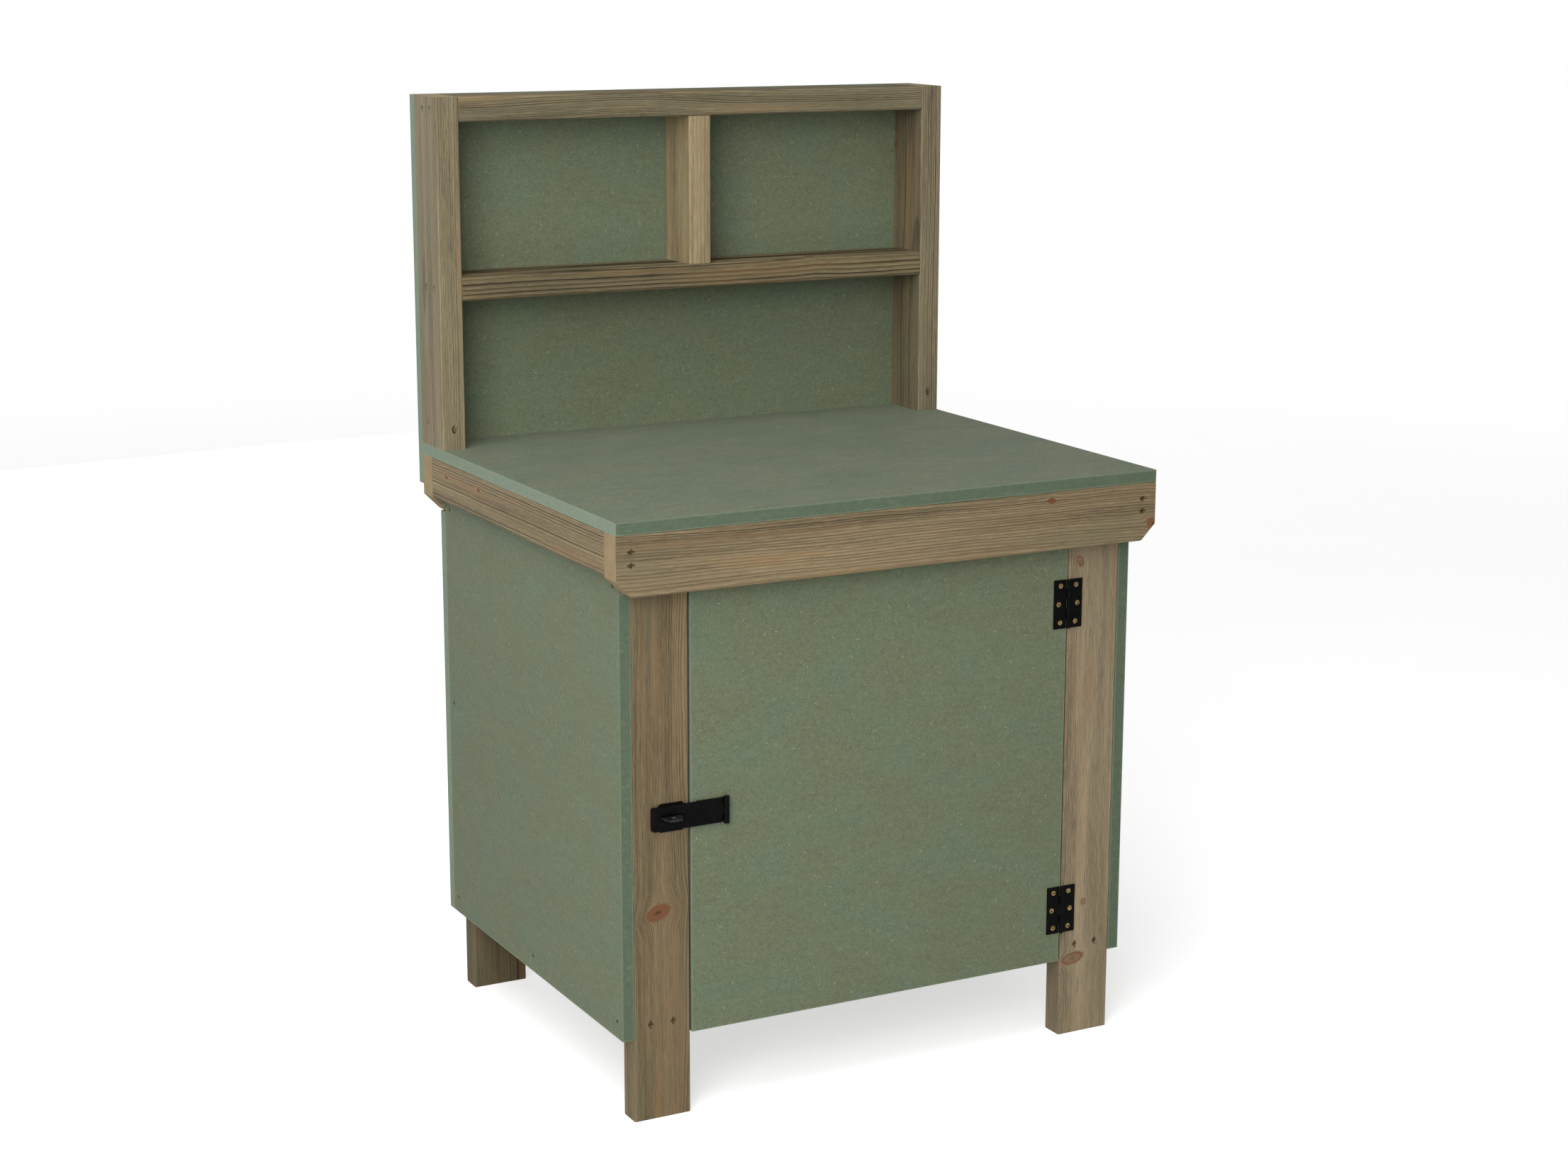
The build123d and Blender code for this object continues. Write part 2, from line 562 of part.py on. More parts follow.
def build_hasp_base():
    """The leaf on the door, hidden by the closed strap, with the barrel's two outer knuckles."""
    plate_y = (Y_LEG_FRONT - HASP_PLATE, Y_LEG_FRONT)
    reach = HASP_BARREL + HASP_CLEAR
    outer = (HASP_MIDDLE_HALF + KNUCKLE_GAP, HASP_BARREL_HALF)
    base = block((HASP_AXIS_X - BASE_REACH, HASP_AXIS_X), plate_y, heights(HASP_HALF_WIDTH))
    middle_gap = heights(HASP_MIDDLE_HALF + KNUCKLE_GAP)
    base -= block((HASP_AXIS_X - reach, HASP_AXIS_X), plate_y, middle_gap)
    for low, high in (outer, (-outer[1], -outer[0])):
        base += barrel((low, high))
    bore = barrel((-HASP_BARREL_HALF, HASP_BARREL_HALF), HASP_PIN + RUNNING)
    parts["hasp_base"] = base - bore
    parts["hasp_pin"] = barrel((-HASP_BARREL_HALF, HASP_BARREL_HALF), HASP_PIN)

    front = Y_LEG_FRONT - HASP_PLATE
    columns = [HASP_AXIS_X - out for out in HASP_SCREWS_OUT]
    points = [(x, front, HASP_Z + up) for x in columns for up in HASP_SCREWS_UP]
    drive("hasp_screws", HARDWARE_SCREW, points, (0, 1, 0), ["hasp_base", "door"])


def build_hasp_strap():
    """The strap: slotted for the staple, its end bent in, its tongue rolled into a knuckle."""
    front = STRAP_BACK - STRAP_THICK
    end = HASP_AXIS_X - STRAP_REACH
    bend = end + STRAP_LIP
    shoulder = HASP_AXIS_X - STRAP_SHOULDER
    outline = Polyline(
        (end, front + STRAP_LIP_DROP),
        (bend, front),
        (shoulder, front),
        (shoulder, STRAP_BACK),
        (bend, STRAP_BACK),
        (end, STRAP_BACK + STRAP_LIP_DROP),
        close=True,
    )
    low, high = heights(HASP_HALF_WIDTH)
    strap = extrude(Pos(0, 0, low) * make_face(outline), amount=high - low)
    end_corners = strap.edges().filter_by(Axis.Y, tolerance=30).group_by(Axis.X)[0]
    strap = fillet(end_corners, STRAP_CORNER)
    slot = SlotOverall(2 * SLOT_HALF_LENGTH, 2 * SLOT_HALF_HEIGHT)
    slot_plane = Plane(origin=(STAPLE_X, STRAP_BACK, HASP_Z), x_dir=(1, 0, 0), z_dir=(0, -1, 0))
    strap -= extrude(slot_plane * slot, amount=2 * STRAP_THICK, both=True)
    tongue = block((shoulder, HASP_AXIS_X), (front, STRAP_BACK), heights(HASP_MIDDLE_HALF))
    knuckle = (-HASP_MIDDLE_HALF, HASP_MIDDLE_HALF)
    strap += tongue + barrel(knuckle)
    parts["hasp_strap"] = strap - barrel(knuckle, HASP_PIN + RUNNING)


def build_staple():
    """The plate on the leg and the flat eye riveted through it, which takes a padlock."""
    plate_y = (Y_LEG_FRONT - HASP_PLATE, Y_LEG_FRONT)
    width = (STAPLE_X - STAPLE_HALF_WIDTH, STAPLE_X + STAPLE_HALF_WIDTH)
    plate = block(width, plate_y, heights(STAPLE_HALF_HEIGHT))
    plate = chamfer(plate.edges().filter_by(Axis.Y), STAPLE_CORNER)

    nose = Y_LEG_FRONT - EYE_REACH
    shoulder = Y_LEG_FRONT - EYE_SHOULDER
    outline = Polyline(
        (STAPLE_X - EYE_HALF_ROOT, Y_LEG_FRONT),
        (STAPLE_X - EYE_HALF_ROOT, shoulder),
        (STAPLE_X - EYE_HALF_NOSE, nose),
        (STAPLE_X + EYE_HALF_NOSE, nose),
        (STAPLE_X + EYE_HALF_ROOT, shoulder),
        (STAPLE_X + EYE_HALF_ROOT, Y_LEG_FRONT),
        close=True,
    )
    low = HASP_Z - EYE_THICK / 2
    eye = extrude(Pos(0, 0, low) * make_face(outline), amount=EYE_THICK)
    nose_corners = eye.edges().filter_by(Axis.Z).group_by(Axis.Y)[0]
    eye = fillet(nose_corners, EYE_NOSE_ROUND)
    plate -= eye
    hole_y = Y_LEG_FRONT - EYE_HOLE_OUT
    eye -= Pos(STAPLE_X, hole_y, HASP_Z) * Cylinder(EYE_HOLE, EYE_THICK)
    parts["staple_plate"] = plate
    parts["staple_eye"] = eye

    front = Y_LEG_FRONT - HASP_PLATE
    corners = [(out, up) for out in STAPLE_SCREWS_OUT for up in STAPLE_SCREWS_UP]
    points = [(STAPLE_X + out, front, HASP_Z + up) for out, up in corners]
    drive("staple_screws", HARDWARE_SCREW, points, (0, 1, 0), ["staple_plate", "front_left_leg"])


# ---- The whole bench ----------------------------------------------------------------------
build_frame()
build_base()
build_cladding()
build_upper_unit()
build_door()
fix_frame()
fix_base()
fix_cladding()
fix_upper_unit()
pin_worktop()
build_hinges()
build_hasp_base()
build_hasp_strap()
build_staple()

os.makedirs("parts", exist_ok=True)
for node, shape in parts.items():
    if isinstance(shape, list):
        shape = Compound(children=[solid for piece in shape for solid in piece.solids()])
    export_step(shape, f"parts/{node}.step")
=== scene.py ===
"""Potting bench: planed, treated softwood and green moisture resistant MDF, black fittings.

The file goes through the bench in the order that it is put together.  Metres, +X to the
bench's right as seen from the front, +Y to the back, +Z up, the floor at Z 0.
"""
import math

import bpy
from mathutils import Matrix, Vector


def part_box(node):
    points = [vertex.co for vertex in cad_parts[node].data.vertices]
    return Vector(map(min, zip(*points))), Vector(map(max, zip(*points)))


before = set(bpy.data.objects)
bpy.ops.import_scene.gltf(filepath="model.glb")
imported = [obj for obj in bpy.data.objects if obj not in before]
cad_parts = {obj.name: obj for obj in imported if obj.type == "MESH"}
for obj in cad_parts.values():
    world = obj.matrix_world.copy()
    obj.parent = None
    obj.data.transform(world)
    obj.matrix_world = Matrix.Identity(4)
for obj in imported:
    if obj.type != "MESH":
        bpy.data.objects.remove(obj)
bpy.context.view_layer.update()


# ---- Worktop frame and legs ---------------------------------------------------------------
# Planed, pressure treated softwood, 38 mm thick: a front and a back rail with sawn-off lower
# corners, two narrower side rails between them, and four legs screwed on from inside.
# Every length is cut from its own place in a log, so its grain is set out from its own pith.

def place(tree, kind, values=(), **settings):
    """Adds a node.  Its sockets are filled in order or by name, each with a value or a link."""
    node = tree.nodes.new("ShaderNode" + kind)
    for name, setting in settings.items():
        setattr(node, name, setting)
    pairs = values.items() if isinstance(values, dict) else enumerate(values)
    for socket, value in pairs:
        if isinstance(value, bpy.types.NodeSocket):
            tree.links.new(value, node.inputs[socket])
        else:
            node.inputs[socket].default_value = value
    return node


def calc(tree, operation, *values):
    """One step of arithmetic on numbers."""
    return place(tree, "Math", values, operation=operation).outputs[0]


def add(tree, total, *others):
    """Adds up numbers."""
    for value in others:
        total = calc(tree, "ADD", total, value)
    return total


def times(tree, product, *others):
    """Multiplies numbers."""
    for value in others:
        product = calc(tree, "MULTIPLY", product, value)
    return product


def calc_vector(tree, operation, *values):
    """One step of arithmetic on vectors."""
    return place(tree, "VectorMath", values, operation=operation).outputs[0]


def scaled(tree, vector, factor):
    """Multiplies each part of a vector or a colour by one number."""
    sockets = {0: vector, "Scale": factor}
    return place(tree, "VectorMath", sockets, operation="SCALE").outputs[0]


def length_of(tree, vector):
    """The length of a vector."""
    return place(tree, "VectorMath", (vector,), operation="LENGTH").outputs["Value"]


def turned_flat(tree, vector, angle):
    """A vector turned about its third axis."""
    sockets = {"Vector": vector, "Angle": angle}
    return place(tree, "VectorRotate", sockets, rotation_type="Z_AXIS").outputs[0]


def parts_of(tree, vector):
    """The three parts of a vector."""
    return place(tree, "SeparateXYZ", (vector,)).outputs


def vector_from(tree, parts):
    """A vector from its three parts."""
    return place(tree, "CombineXYZ", parts).outputs[0]


def fade(tree, value, start, end, low=0.0, high=1.0):
    """Goes smoothly from low to high while the value goes from start to end."""
    values = (value, start, end, low, high)
    return place(tree, "MapRange", values, interpolation_type="SMOOTHSTEP").outputs[0]


def mix(tree, share, first, second):
    """Mixes two colours."""
    sockets = {0: share, 6: first, 7: second}
    return place(tree, "Mix", sockets, data_type="RGBA").outputs[2]


def noise(tree, vector, scale, detail=2.0, roughness=0.5, output=0):
    """Noise; scale is its cells to the metre on each axis.  Output 0 is a number, 1 a colour."""
    stretched = calc_vector(tree, "MULTIPLY", vector, scale)
    sockets = {"Vector": stretched, "Scale": 1.0, "Detail": detail, "Roughness": roughness}
    return place(tree, "TexNoise", sockets).outputs[output]


def around_zero(tree, value, reach):
    """Turns a value from 0 to 1 into one from -reach to reach."""
    return calc(tree, "MULTIPLY_ADD", value, 2 * reach, -reach)


def mottle(tree, *layers):
    """Adds up layers of noise around zero, each given with its reach."""
    return add(tree, *[around_zero(tree, value, reach) for value, reach in layers])


def drift(tree, vector, scale, reach):
    """Smooth shifts to all sides, of at most half the reach."""
    shifts = noise(tree, vector, scale, 1.0, output=1)
    return scaled(tree, calc_vector(tree, "SUBTRACT", shifts, (0.5, 0.5, 0.5)), reach)


def colour(red, green, blue):
    """A paint chart's 0 to 255 colour as the linear colour that a shader takes."""
    linear = []
    for part in (red, green, blue):
        share = part / 255
        linear.append(share / 12.92 if share <= 0.04045 else ((share + 0.055) / 1.055) ** 2.4)
    return (*linear, 1.0)


def new_group(name, inputs, outputs):
    """A shader node group with named sockets, and its two inner ends."""
    tree = bpy.data.node_groups.new(name, "ShaderNodeTree")
    for label, kind, default in inputs:
        socket = tree.interface.new_socket(label, in_out="INPUT", socket_type="NodeSocket" + kind)
        socket.default_value = default
    for label, kind in outputs:
        tree.interface.new_socket(label, in_out="OUTPUT", socket_type="NodeSocket" + kind)
    given = tree.nodes.new("NodeGroupInput").outputs
    result = tree.nodes.new("NodeGroupOutput").inputs
    return tree, given, result


def use_group(tree, group, values):
    """Places a node group in a tree and fills its named inputs."""
    return place(tree, "Group", values, node_tree=group).outputs


KNOT_RAGGED = 0.30       # how far a knot's outline strays, as a share of the knot's size
KNOT_RINGS = 4.3         # from its pith to its outline
KNOT_RING_SHADE = 0.40
KNOT_PITH_SHADE = 0.90


def make_knot_group():
    """A knot that runs through the board: bends the grain round itself and marks its heart."""
    tree, given, result = new_group(
        "knot",
        [
            ("Vector", "Vector", (0, 0, 0)),
            ("Centre", "Vector", (0, 0, 0)),
            ("Half length", "Float", 0.015),
            ("Half width", "Float", 0.010),
            ("Slant", "Float", 0.0),
            ("Heart before", "Float", 0.0),
            ("Rim before", "Float", 0.0),
            ("Dark before", "Float", 0.0),
        ],
        [("Vector", "Vector"), ("Heart", "Float"), ("Rim", "Float"), ("Dark", "Float")],
    )
    away = calc_vector(tree, "SUBTRACT", given["Vector"], given["Centre"])
    parts = parts_of(tree, turned_flat(tree, away, given["Slant"]))
    along = calc(tree, "DIVIDE", parts[0], given["Half length"])
    across = calc(tree, "DIVIDE", parts[1], given["Half width"])
    squared = add(tree, times(tree, along, along), times(tree, across, across))
    ragged = noise(tree, away, (190, 190, 20), 3.0, 0.6)
    out = add(tree, calc(tree, "SQRT", squared), around_zero(tree, ragged, KNOT_RAGGED))

    # Outside the heart the grain flows round it, as water flows round a post.
    inverse = calc(tree, "DIVIDE", 1.0, calc(tree, "MAXIMUM", squared, 1.0))
    kept = calc(tree, "SUBTRACT", 1.0, inverse)
    straight = parts_of(tree, given["Vector"])
    middle = parts_of(tree, given["Centre"])
    offset = calc(tree, "SUBTRACT", straight[1], middle[1])
    bent = calc(tree, "MULTIPLY_ADD", offset, kept, middle[1])
    tree.links.new(vector_from(tree, (straight[0], bent, straight[2])), result["Vector"])

    # Its heart has rings of its own and a cracked pith, and a darker rim round it.
    heart = fade(tree, out, 0.88, 1.02, 1.0, 0.0)
    rim = times(tree, fade(tree, out, 0.70, 0.98), fade(tree, out, 1.0, 1.35, 1.0, 0.0))
    rings = fade(tree, calc(tree, "FRACT", times(tree, out, KNOT_RINGS)), 0.3, 0.95)
    pith = fade(tree, out, 0.12, 0.42, 1.0, 0.0)
    dark = calc(tree, "MAXIMUM", times(tree, rings, KNOT_RING_SHADE),
                times(tree, pith, KNOT_PITH_SHADE))
    dark = times(tree, dark, heart)
    for label, value in (("Heart", heart), ("Rim", rim), ("Dark", dark)):
        tree.links.new(calc(tree, "MAXIMUM", value, given[label + " before"]), result[label])
    return tree


TEAR_SPREAD = (150, 240, 240)   # 1 / reach in metres, so about 7 mm along the grain, 4 across
TEAR_RAGGED = 0.55              # how far its outline strays, as a share of its reach


def make_tear_group():
    """The dark, torn fibres round a screw that was driven below the surface."""
    tree, given, result = new_group(
        "torn_fibres",
        [
            ("Vector", "Vector", (0, 0, 0)),
            ("Centre", "Vector", (0, 0, 0)),
            ("Torn before", "Float", 0.0),
        ],
        [("Torn", "Float")],
    )
    away = calc_vector(tree, "SUBTRACT", given["Vector"], given["Centre"])
    spread = calc_vector(tree, "ABSOLUTE", calc_vector(tree, "MULTIPLY", away, TEAR_SPREAD))
    ragged = noise(tree, away, (500, 900, 500), 2.0)
    out = add(tree, *parts_of(tree, spread), around_zero(tree, ragged, TEAR_RAGGED))
    torn = fade(tree, out, 0.75, 1.25, 1.0, 0.0)
    tree.links.new(calc(tree, "MAXIMUM", torn, given["Torn before"]), result["Torn"])
    return tree


PITH_WANDERS = 3.0          # slow bends of the pith, in wavers
RINGS_RIPPLE = 0.40         # short waves in the rings, in wavers
SPELL_OF_WEATHER = 0.33     # 1 / years that good or bad weather lasts
YEARS_DIFFER = 1.3          # how far wide rings and narrow rings differ
FAINTEST_RING = 0.35        # beside the darkest
WOOD_ROUGHNESS = 0.68
LATE_WOOD_SMOOTHER = 0.10
END_GRAIN_ROUGHER = 0.10
GRAIN_RELIEF = 0.00040      # height of the raised grain
LATE_WOOD_PROUD, FIBRES_PROUD, TEARS_DEEP, CRACKS_DEEP = 0.5, 1.1, 1.2, 0.5   # shares of it
WOOD_SHINE = 0.25

TAN = colour(140, 124, 94)
BROWN = colour(72, 56, 34)
STAIN = colour(112, 107, 84)
WARM = colour(150, 118, 80)
END_GRAIN = colour(165, 142, 106)
KNOT_HEART = colour(122, 77, 48)
KNOT_RIM = colour(116, 72, 40)
KNOT_DARK = colour(54, 32, 20)
TORN = colour(34, 25, 15)


def make_softwood_group():
    """Year rings round a pith, with fibres, stains and knots, for a length with grain along X."""
    tree, given, result = new_group(
        "planed_softwood",
        [
            ("Vector", "Vector", (0, 0, 0)),
            ("Pith", "Vector", (0, 0.03, 0.06)),
            ("Lean", "Vector", (0, 0, 0)),
            ("Ring width", "Float", 0.004),
            ("Waver", "Float", 0.004),
            ("Lines", "Float", 0.8),
            ("Early wood", "Color", (0.3, 0.2, 0.1, 1)),
            ("Late wood", "Color", (0.1, 0.07, 0.03, 1)),
            ("Stain", "Float", 0.3),
            ("Heart", "Float", 0.0),
            ("Rim", "Float", 0.0),
            ("Dark", "Float", 0.0),
            ("Torn", "Float", 0.0),
            ("End", "Float", 0.0),
            ("End lines", "Float", 0.7),
            ("Left face shade", "Float", 1.0),
            ("Knot tone", "Float", 0.85),
            ("Seed", "Float", 0.0),
        ],
        [("Colour", "Color"), ("Roughness", "Float"), ("Height", "Float")],
    )
    moved = scaled(tree, (1.7, 2.3, 3.1), given["Seed"])
    seeded = calc_vector(tree, "ADD", given["Vector"], moved)

    # The pith wanders a little along the length, and its rings with it.
    wandering = drift(tree, seeded, (2.2, 7, 7), times(tree, given["Waver"], PITH_WANDERS))
    rippling = drift(tree, seeded, (9, 30, 30), times(tree, given["Waver"], RINGS_RIPPLE))
    length = parts_of(tree, given["Vector"])[0]
    out = calc_vector(tree, "SUBTRACT", given["Vector"], given["Pith"])
    for part in (scaled(tree, given["Lean"], length), wandering, rippling):
        out = calc_vector(tree, "ADD", out, part)
    radius = length_of(tree, calc_vector(tree, "MULTIPLY", out, (0, 1, 1)))

    # Good and bad years give wide and narrow rings; each ring ends in a dark, sharp line.
    years = calc(tree, "DIVIDE", radius, given["Ring width"])
    spell = calc(tree, "MULTIPLY_ADD", years, SPELL_OF_WEATHER, given["Seed"])
    weather = place(tree, "TexNoise", {"W": spell, "Scale": 1.0, "Detail": 2.0},
                    noise_dimensions="1D").outputs[0]
    years = calc(tree, "MULTIPLY_ADD", weather, YEARS_DIFFER, years)
    season = calc(tree, "FRACT", years)
    summer = calc(tree, "POWER", fade(tree, season, 0.15, 0.90), 1.8)
    winter = fade(tree, season, 0.93, 1.0, 1.0, 0.0)
    vigour = place(tree, "TexWhiteNoise", {"W": calc(tree, "FLOOR", years)},
                   noise_dimensions="1D").outputs[0]
    vigour = calc(tree, "MULTIPLY_ADD", vigour, 1 - FAINTEST_RING, FAINTEST_RING)
    late = times(tree, summer, winter, vigour)
    shown = fade(tree, given["End"], 0.0, 1.0, 1.0, 0.0)
    shown = add(tree, shown, times(tree, given["End"], given["End lines"]))
    line = times(tree, late, given["Lines"], shown)

    # Fibres along the length, the cut pores on an end, and slower changes of tone.
    fibre = noise(tree, seeded, (34, 1100, 1100), 2.0, 0.7)
    pores = noise(tree, seeded, (700, 700, 700), 2.0)
    side = calc(tree, "SUBTRACT", 1.0, given["End"])
    grit = add(tree, times(tree, fibre, side), times(tree, pores, given["End"]))
    streak = noise(tree, seeded, (5, 110, 110), 3.0, 0.55)
    band = noise(tree, seeded, (1.6, 34, 34), 2.0)
    tone = mottle(tree, (grit, 0.80), (streak, 0.24), (band, 0.62), (pores, 0.26))
    wood = mix(tree, line, given["Early wood"], given["Late wood"])
    # The last factor is painted shade, darker on the faces that look left.
    wood = scaled(tree, wood, times(tree, add(tree, tone, 1.0), given["Left face shade"]))

    # What colours the wood after that: where it lies, how strong it is, and its colour.
    patch = fade(tree, noise(tree, seeded, (2.6, 26, 26), 3.0, 0.6), 0.46, 0.72)
    warm = fade(tree, noise(tree, seeded, (2.6, 46, 46), 2.0), 0.53, 0.68)
    coats = [
        (patch, given["Stain"], STAIN),
        (warm, 0.32, WARM),
        (given["End"], 0.55, END_GRAIN),
        (given["Rim"], 0.75, KNOT_RIM),
        (given["Heart"], given["Knot tone"], KNOT_HEART),
        (given["Dark"], given["Knot tone"], KNOT_DARK),
        (given["Torn"], 0.85, TORN),
    ]
    for covered, strength, shade in coats:
        wood = mix(tree, times(tree, covered, strength), wood, shade)
    tree.links.new(wood, result["Colour"])

    rough = calc(tree, "MULTIPLY_ADD", late, -LATE_WOOD_SMOOTHER, WOOD_ROUGHNESS)
    rough = add(tree, rough, around_zero(tree, grit, 0.12))
    rough = calc(tree, "MULTIPLY_ADD", given["End"], END_GRAIN_ROUGHER, rough)
    tree.links.new(rough, result["Roughness"])
    relief = calc(tree, "MULTIPLY_ADD", late, LATE_WOOD_PROUD, times(tree, grit, FIBRES_PROUD))
    relief = calc(tree, "MULTIPLY_ADD", given["Torn"], -TEARS_DEEP, relief)
    relief = calc(tree, "MULTIPLY_ADD", given["Dark"], -CRACKS_DEEP, relief)
    tree.links.new(relief, result["Height"])
    return tree


KNOT = make_knot_group()
TEAR = make_tear_group()
SOFTWOOD = make_softwood_group()
END_TURNS = (0.6, 0.8)      # a face counts as an end while its normal's share goes through this


def order_of(grain, across):
    """Frame axes in the order along the grain, across the wide face, through the thickness."""
    through = ({"x", "y", "z"} - {grain, across}).pop()
    return ["xyz".index(axis) for axis in (grain, across, through)]


def new_material(name):
    """An empty material with a Principled shader."""
    material = bpy.data.materials.new(name)
    material.use_nodes = True
    tree = material.node_tree
    return material, tree, tree.nodes["Principled BSDF"]


def finish_surface(tree, shader, outputs, relief, shine):
    """Joins a group's colour, roughness and height to the shader; shine is 0.5 for gloss paint."""
    shader.inputs["Specular IOR Level"].default_value = shine
    tree.links.new(outputs["Colour"], shader.inputs["Base Color"])
    tree.links.new(outputs["Roughness"], shader.inputs["Roughness"])
    bump = place(tree, "Bump", {"Strength": 1.0, "Distance": relief, "Height": outputs["Height"]})
    tree.links.new(bump.outputs[0], shader.inputs["Normal"])


def cover(node, material):
    """Gives a CAD node its material."""
    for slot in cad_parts[node].material_slots:
        slot.material = material


def softwood(node, grain, across, pith, rings, seed, waver=0.004, lean=(0, 0), lines=0.8,
             early=TAN, late=BROWN, stain=0.4, end_lines=0.7, left_face_shade=1.0, knot_tone=0.85,
             knots=(), screws=()):
    """Planed softwood for one length.

    pith is across and through from the middle of the length, and leans by lean to the metre;
    rings is a year ring's width.  Each knot is its centre in the frame, its half length along
    the grain, its half width and its slant in degrees; screws are the points in the frame
    where they go in.  The left face factor darkens the faces that look left: painted shade.
    """
    material, tree, shader = new_material(node + "_softwood")
    order = order_of(grain, across)
    low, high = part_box(node)
    middle = (low + high) / 2
    where = place(tree, "TexCoord").outputs
    centred = parts_of(tree, calc_vector(tree, "SUBTRACT", where["Object"], tuple(middle)))
    straight = vector_from(tree, [centred[axis] for axis in order])
    facing = parts_of(tree, where["Normal"])
    end = fade(tree, calc(tree, "ABSOLUTE", facing[order[0]]), *END_TURNS)
    # Faces that look left, which get a painted shade.
    left_shade_mask = fade(tree, facing[0], -END_TURNS[1], -END_TURNS[0], 1.0, 0.0)

    vector = straight
    marks = {"Heart": 0.0, "Rim": 0.0, "Dark": 0.0}
    for centre, half_length, half_width, slant in knots:
        offset = Vector(centre) - middle
        given = {
            "Vector": vector,
            "Centre": [offset[order[0]], offset[order[1]], 0.0],
            "Half length": half_length,
            "Half width": half_width,
            "Slant": math.radians(slant),
        }
        given.update({label + " before": mark for label, mark in marks.items()})
        outputs = use_group(tree, KNOT, given)
        vector = outputs["Vector"]
        marks = {label: outputs[label] for label in marks}
    torn = 0.0
    for point in screws:
        offset = Vector(point) - middle
        given = {
            "Vector": straight,
            "Centre": [offset[axis] for axis in order],
            "Torn before": torn,
        }
        torn = use_group(tree, TEAR, given)["Torn"]
    values = {
        "Vector": vector,
        "Pith": (0.0, *pith),
        "Lean": (0.0, *lean),
        "Ring width": rings,
        "Waver": waver,
        "Lines": lines,
        "Early wood": early,
        "Late wood": late,
        "Stain": stain,
        "Torn": torn,
        "End": end,
        "End lines": end_lines,
        # painted shade on the faces that look left
        "Left face shade": calc(tree, "MULTIPLY_ADD", left_shade_mask, left_face_shade - 1.0, 1.0),
        "Knot tone": knot_tone,
        "Seed": seed,
    }
    values.update(marks)
    finish_surface(tree, shader, use_group(tree, SOFTWOOD, values), GRAIN_RELIEF, WOOD_SHINE)
    cover(node, material)


RAIL_SCREWS_X = (-0.422, 0.422)
RAIL_SCREWS_Z = (0.848, 0.829)
FOOT_SCREWS_OUT = (0.345, 0.381)    # from the middle of the bench
FOOT_SCREWS_Z = 0.145
FRONT, LEG_FRONT, LEG_BACK, BACK = -0.373, -0.335, 0.317, 0.355
SIDE = 0.445


def rail_screws(y):
    """The two screws through each end of the front or the back rail."""
    return [(x, y, z) for x in RAIL_SCREWS_X for z in RAIL_SCREWS_Z]


def foot_screws(side, y):
    """The two screws through a leg into the base frame; side is -1 for left, 1 for right."""
    return [(side * out, y, FOOT_SCREWS_Z) for out in FOOT_SCREWS_OUT]


softwood("front_rail", "x", "z", pith=(-0.085, 0.040), rings=0.0036, seed=1.3, waver=0.006,
         lean=(0.016, 0), lines=0.9, end_lines=0.15,
         early=colour(131, 115, 87), late=colour(56, 42, 25),
         knots=[((0.259, FRONT, 0.859), 0.006, 0.004, 0),
                ((0.441, FRONT, 0.808), 0.010, 0.007, 30)],
         screws=rail_screws(FRONT))
softwood("back_rail", "x", "z", pith=(0.060, 0.045), rings=0.0038, seed=2.9, lean=(-0.010, 0),
         knots=[((-0.180, BACK, 0.830), 0.011, 0.008, 12)],
         screws=rail_screws(BACK))
softwood("left_side_rail", "y", "z", pith=(-0.115, 0.012), rings=0.0038, seed=4.1, waver=0.0025,
         lines=1.0, early=colour(136, 121, 91), late=colour(42, 30, 16), stain=0.1,
         knots=[((-SIDE, 0.256, 0.850), 0.005, 0.0025, 0),
                ((-SIDE, 0.124, 0.852), 0.006, 0.0028, 0)])
softwood("right_side_rail", "y", "z", pith=(0.085, 0.040), rings=0.0036, seed=5.7, waver=0.003,
         knots=[((SIDE, -0.120, 0.835), 0.009, 0.006, 8)])
softwood("front_left_leg", "z", "x", pith=(0.055, 0.030), rings=0.0018, seed=6.2,
         early=colour(122, 106, 78), late=colour(54, 41, 24),
         knots=[((-0.3687, LEG_FRONT, 0.311), 0.0100, 0.0170, 20)],
         screws=foot_screws(-1, LEG_FRONT))
softwood("front_right_leg", "z", "x", pith=(-0.060, 0.040), rings=0.0018, seed=7.8,
         lines=0.5, early=colour(145, 130, 104), late=colour(88, 72, 50), stain=0.25,
         knots=[((0.341, LEG_FRONT, 0.122), 0.0080, 0.0180, 10),
                ((0.359, LEG_FRONT, 0.212), 0.005, 0.004, 0),
                ((0.338, LEG_FRONT, 0.753), 0.008, 0.005, 20)],
         knot_tone=0.45,
         screws=foot_screws(1, LEG_FRONT))
# The back left leg's darker early and late wood is painted shade, for the shade under the bench.
softwood("back_left_leg", "z", "x", pith=(0.040, -0.060), rings=0.0024, seed=8.4,
         early=colour(98, 87, 64), late=colour(44, 34, 21),
         knots=[((-0.355, LEG_BACK, 0.520), 0.011, 0.012, 0)],
         screws=foot_screws(-1, LEG_BACK))
softwood("back_right_leg", "z", "x", pith=(-0.060, -0.045), rings=0.0038, seed=9.6,
         knots=[((0.372, LEG_BACK, 0.300), 0.010, 0.009, 15),
                ((0.350, LEG_BACK, 0.730), 0.007, 0.006, 0)],
         screws=foot_screws(1, LEG_BACK))


# ---- Base frame and cupboard floor --------------------------------------------------------
# Four softwood lengths laid flat between the legs, and a sheet of the same green moisture
# resistant MDF as the rest of the bench screwed down on them.

softwood("base_front_rail", "x", "y", pith=(0.050, -0.040), rings=0.0040, seed=11.2,
         knots=[((0.120, -0.266, 0.164), 0.010, 0.008, 10)])
softwood("base_back_rail", "x", "y", pith=(-0.050, 0.040), rings=0.0036, seed=12.5)
softwood("base_left_rail", "y", "x", pith=(0.045, 0.050), rings=0.0034, seed=13.1)
softwood("base_right_rail", "y", "x", pith=(-0.040, 0.050), rings=0.0038, seed=14.9)


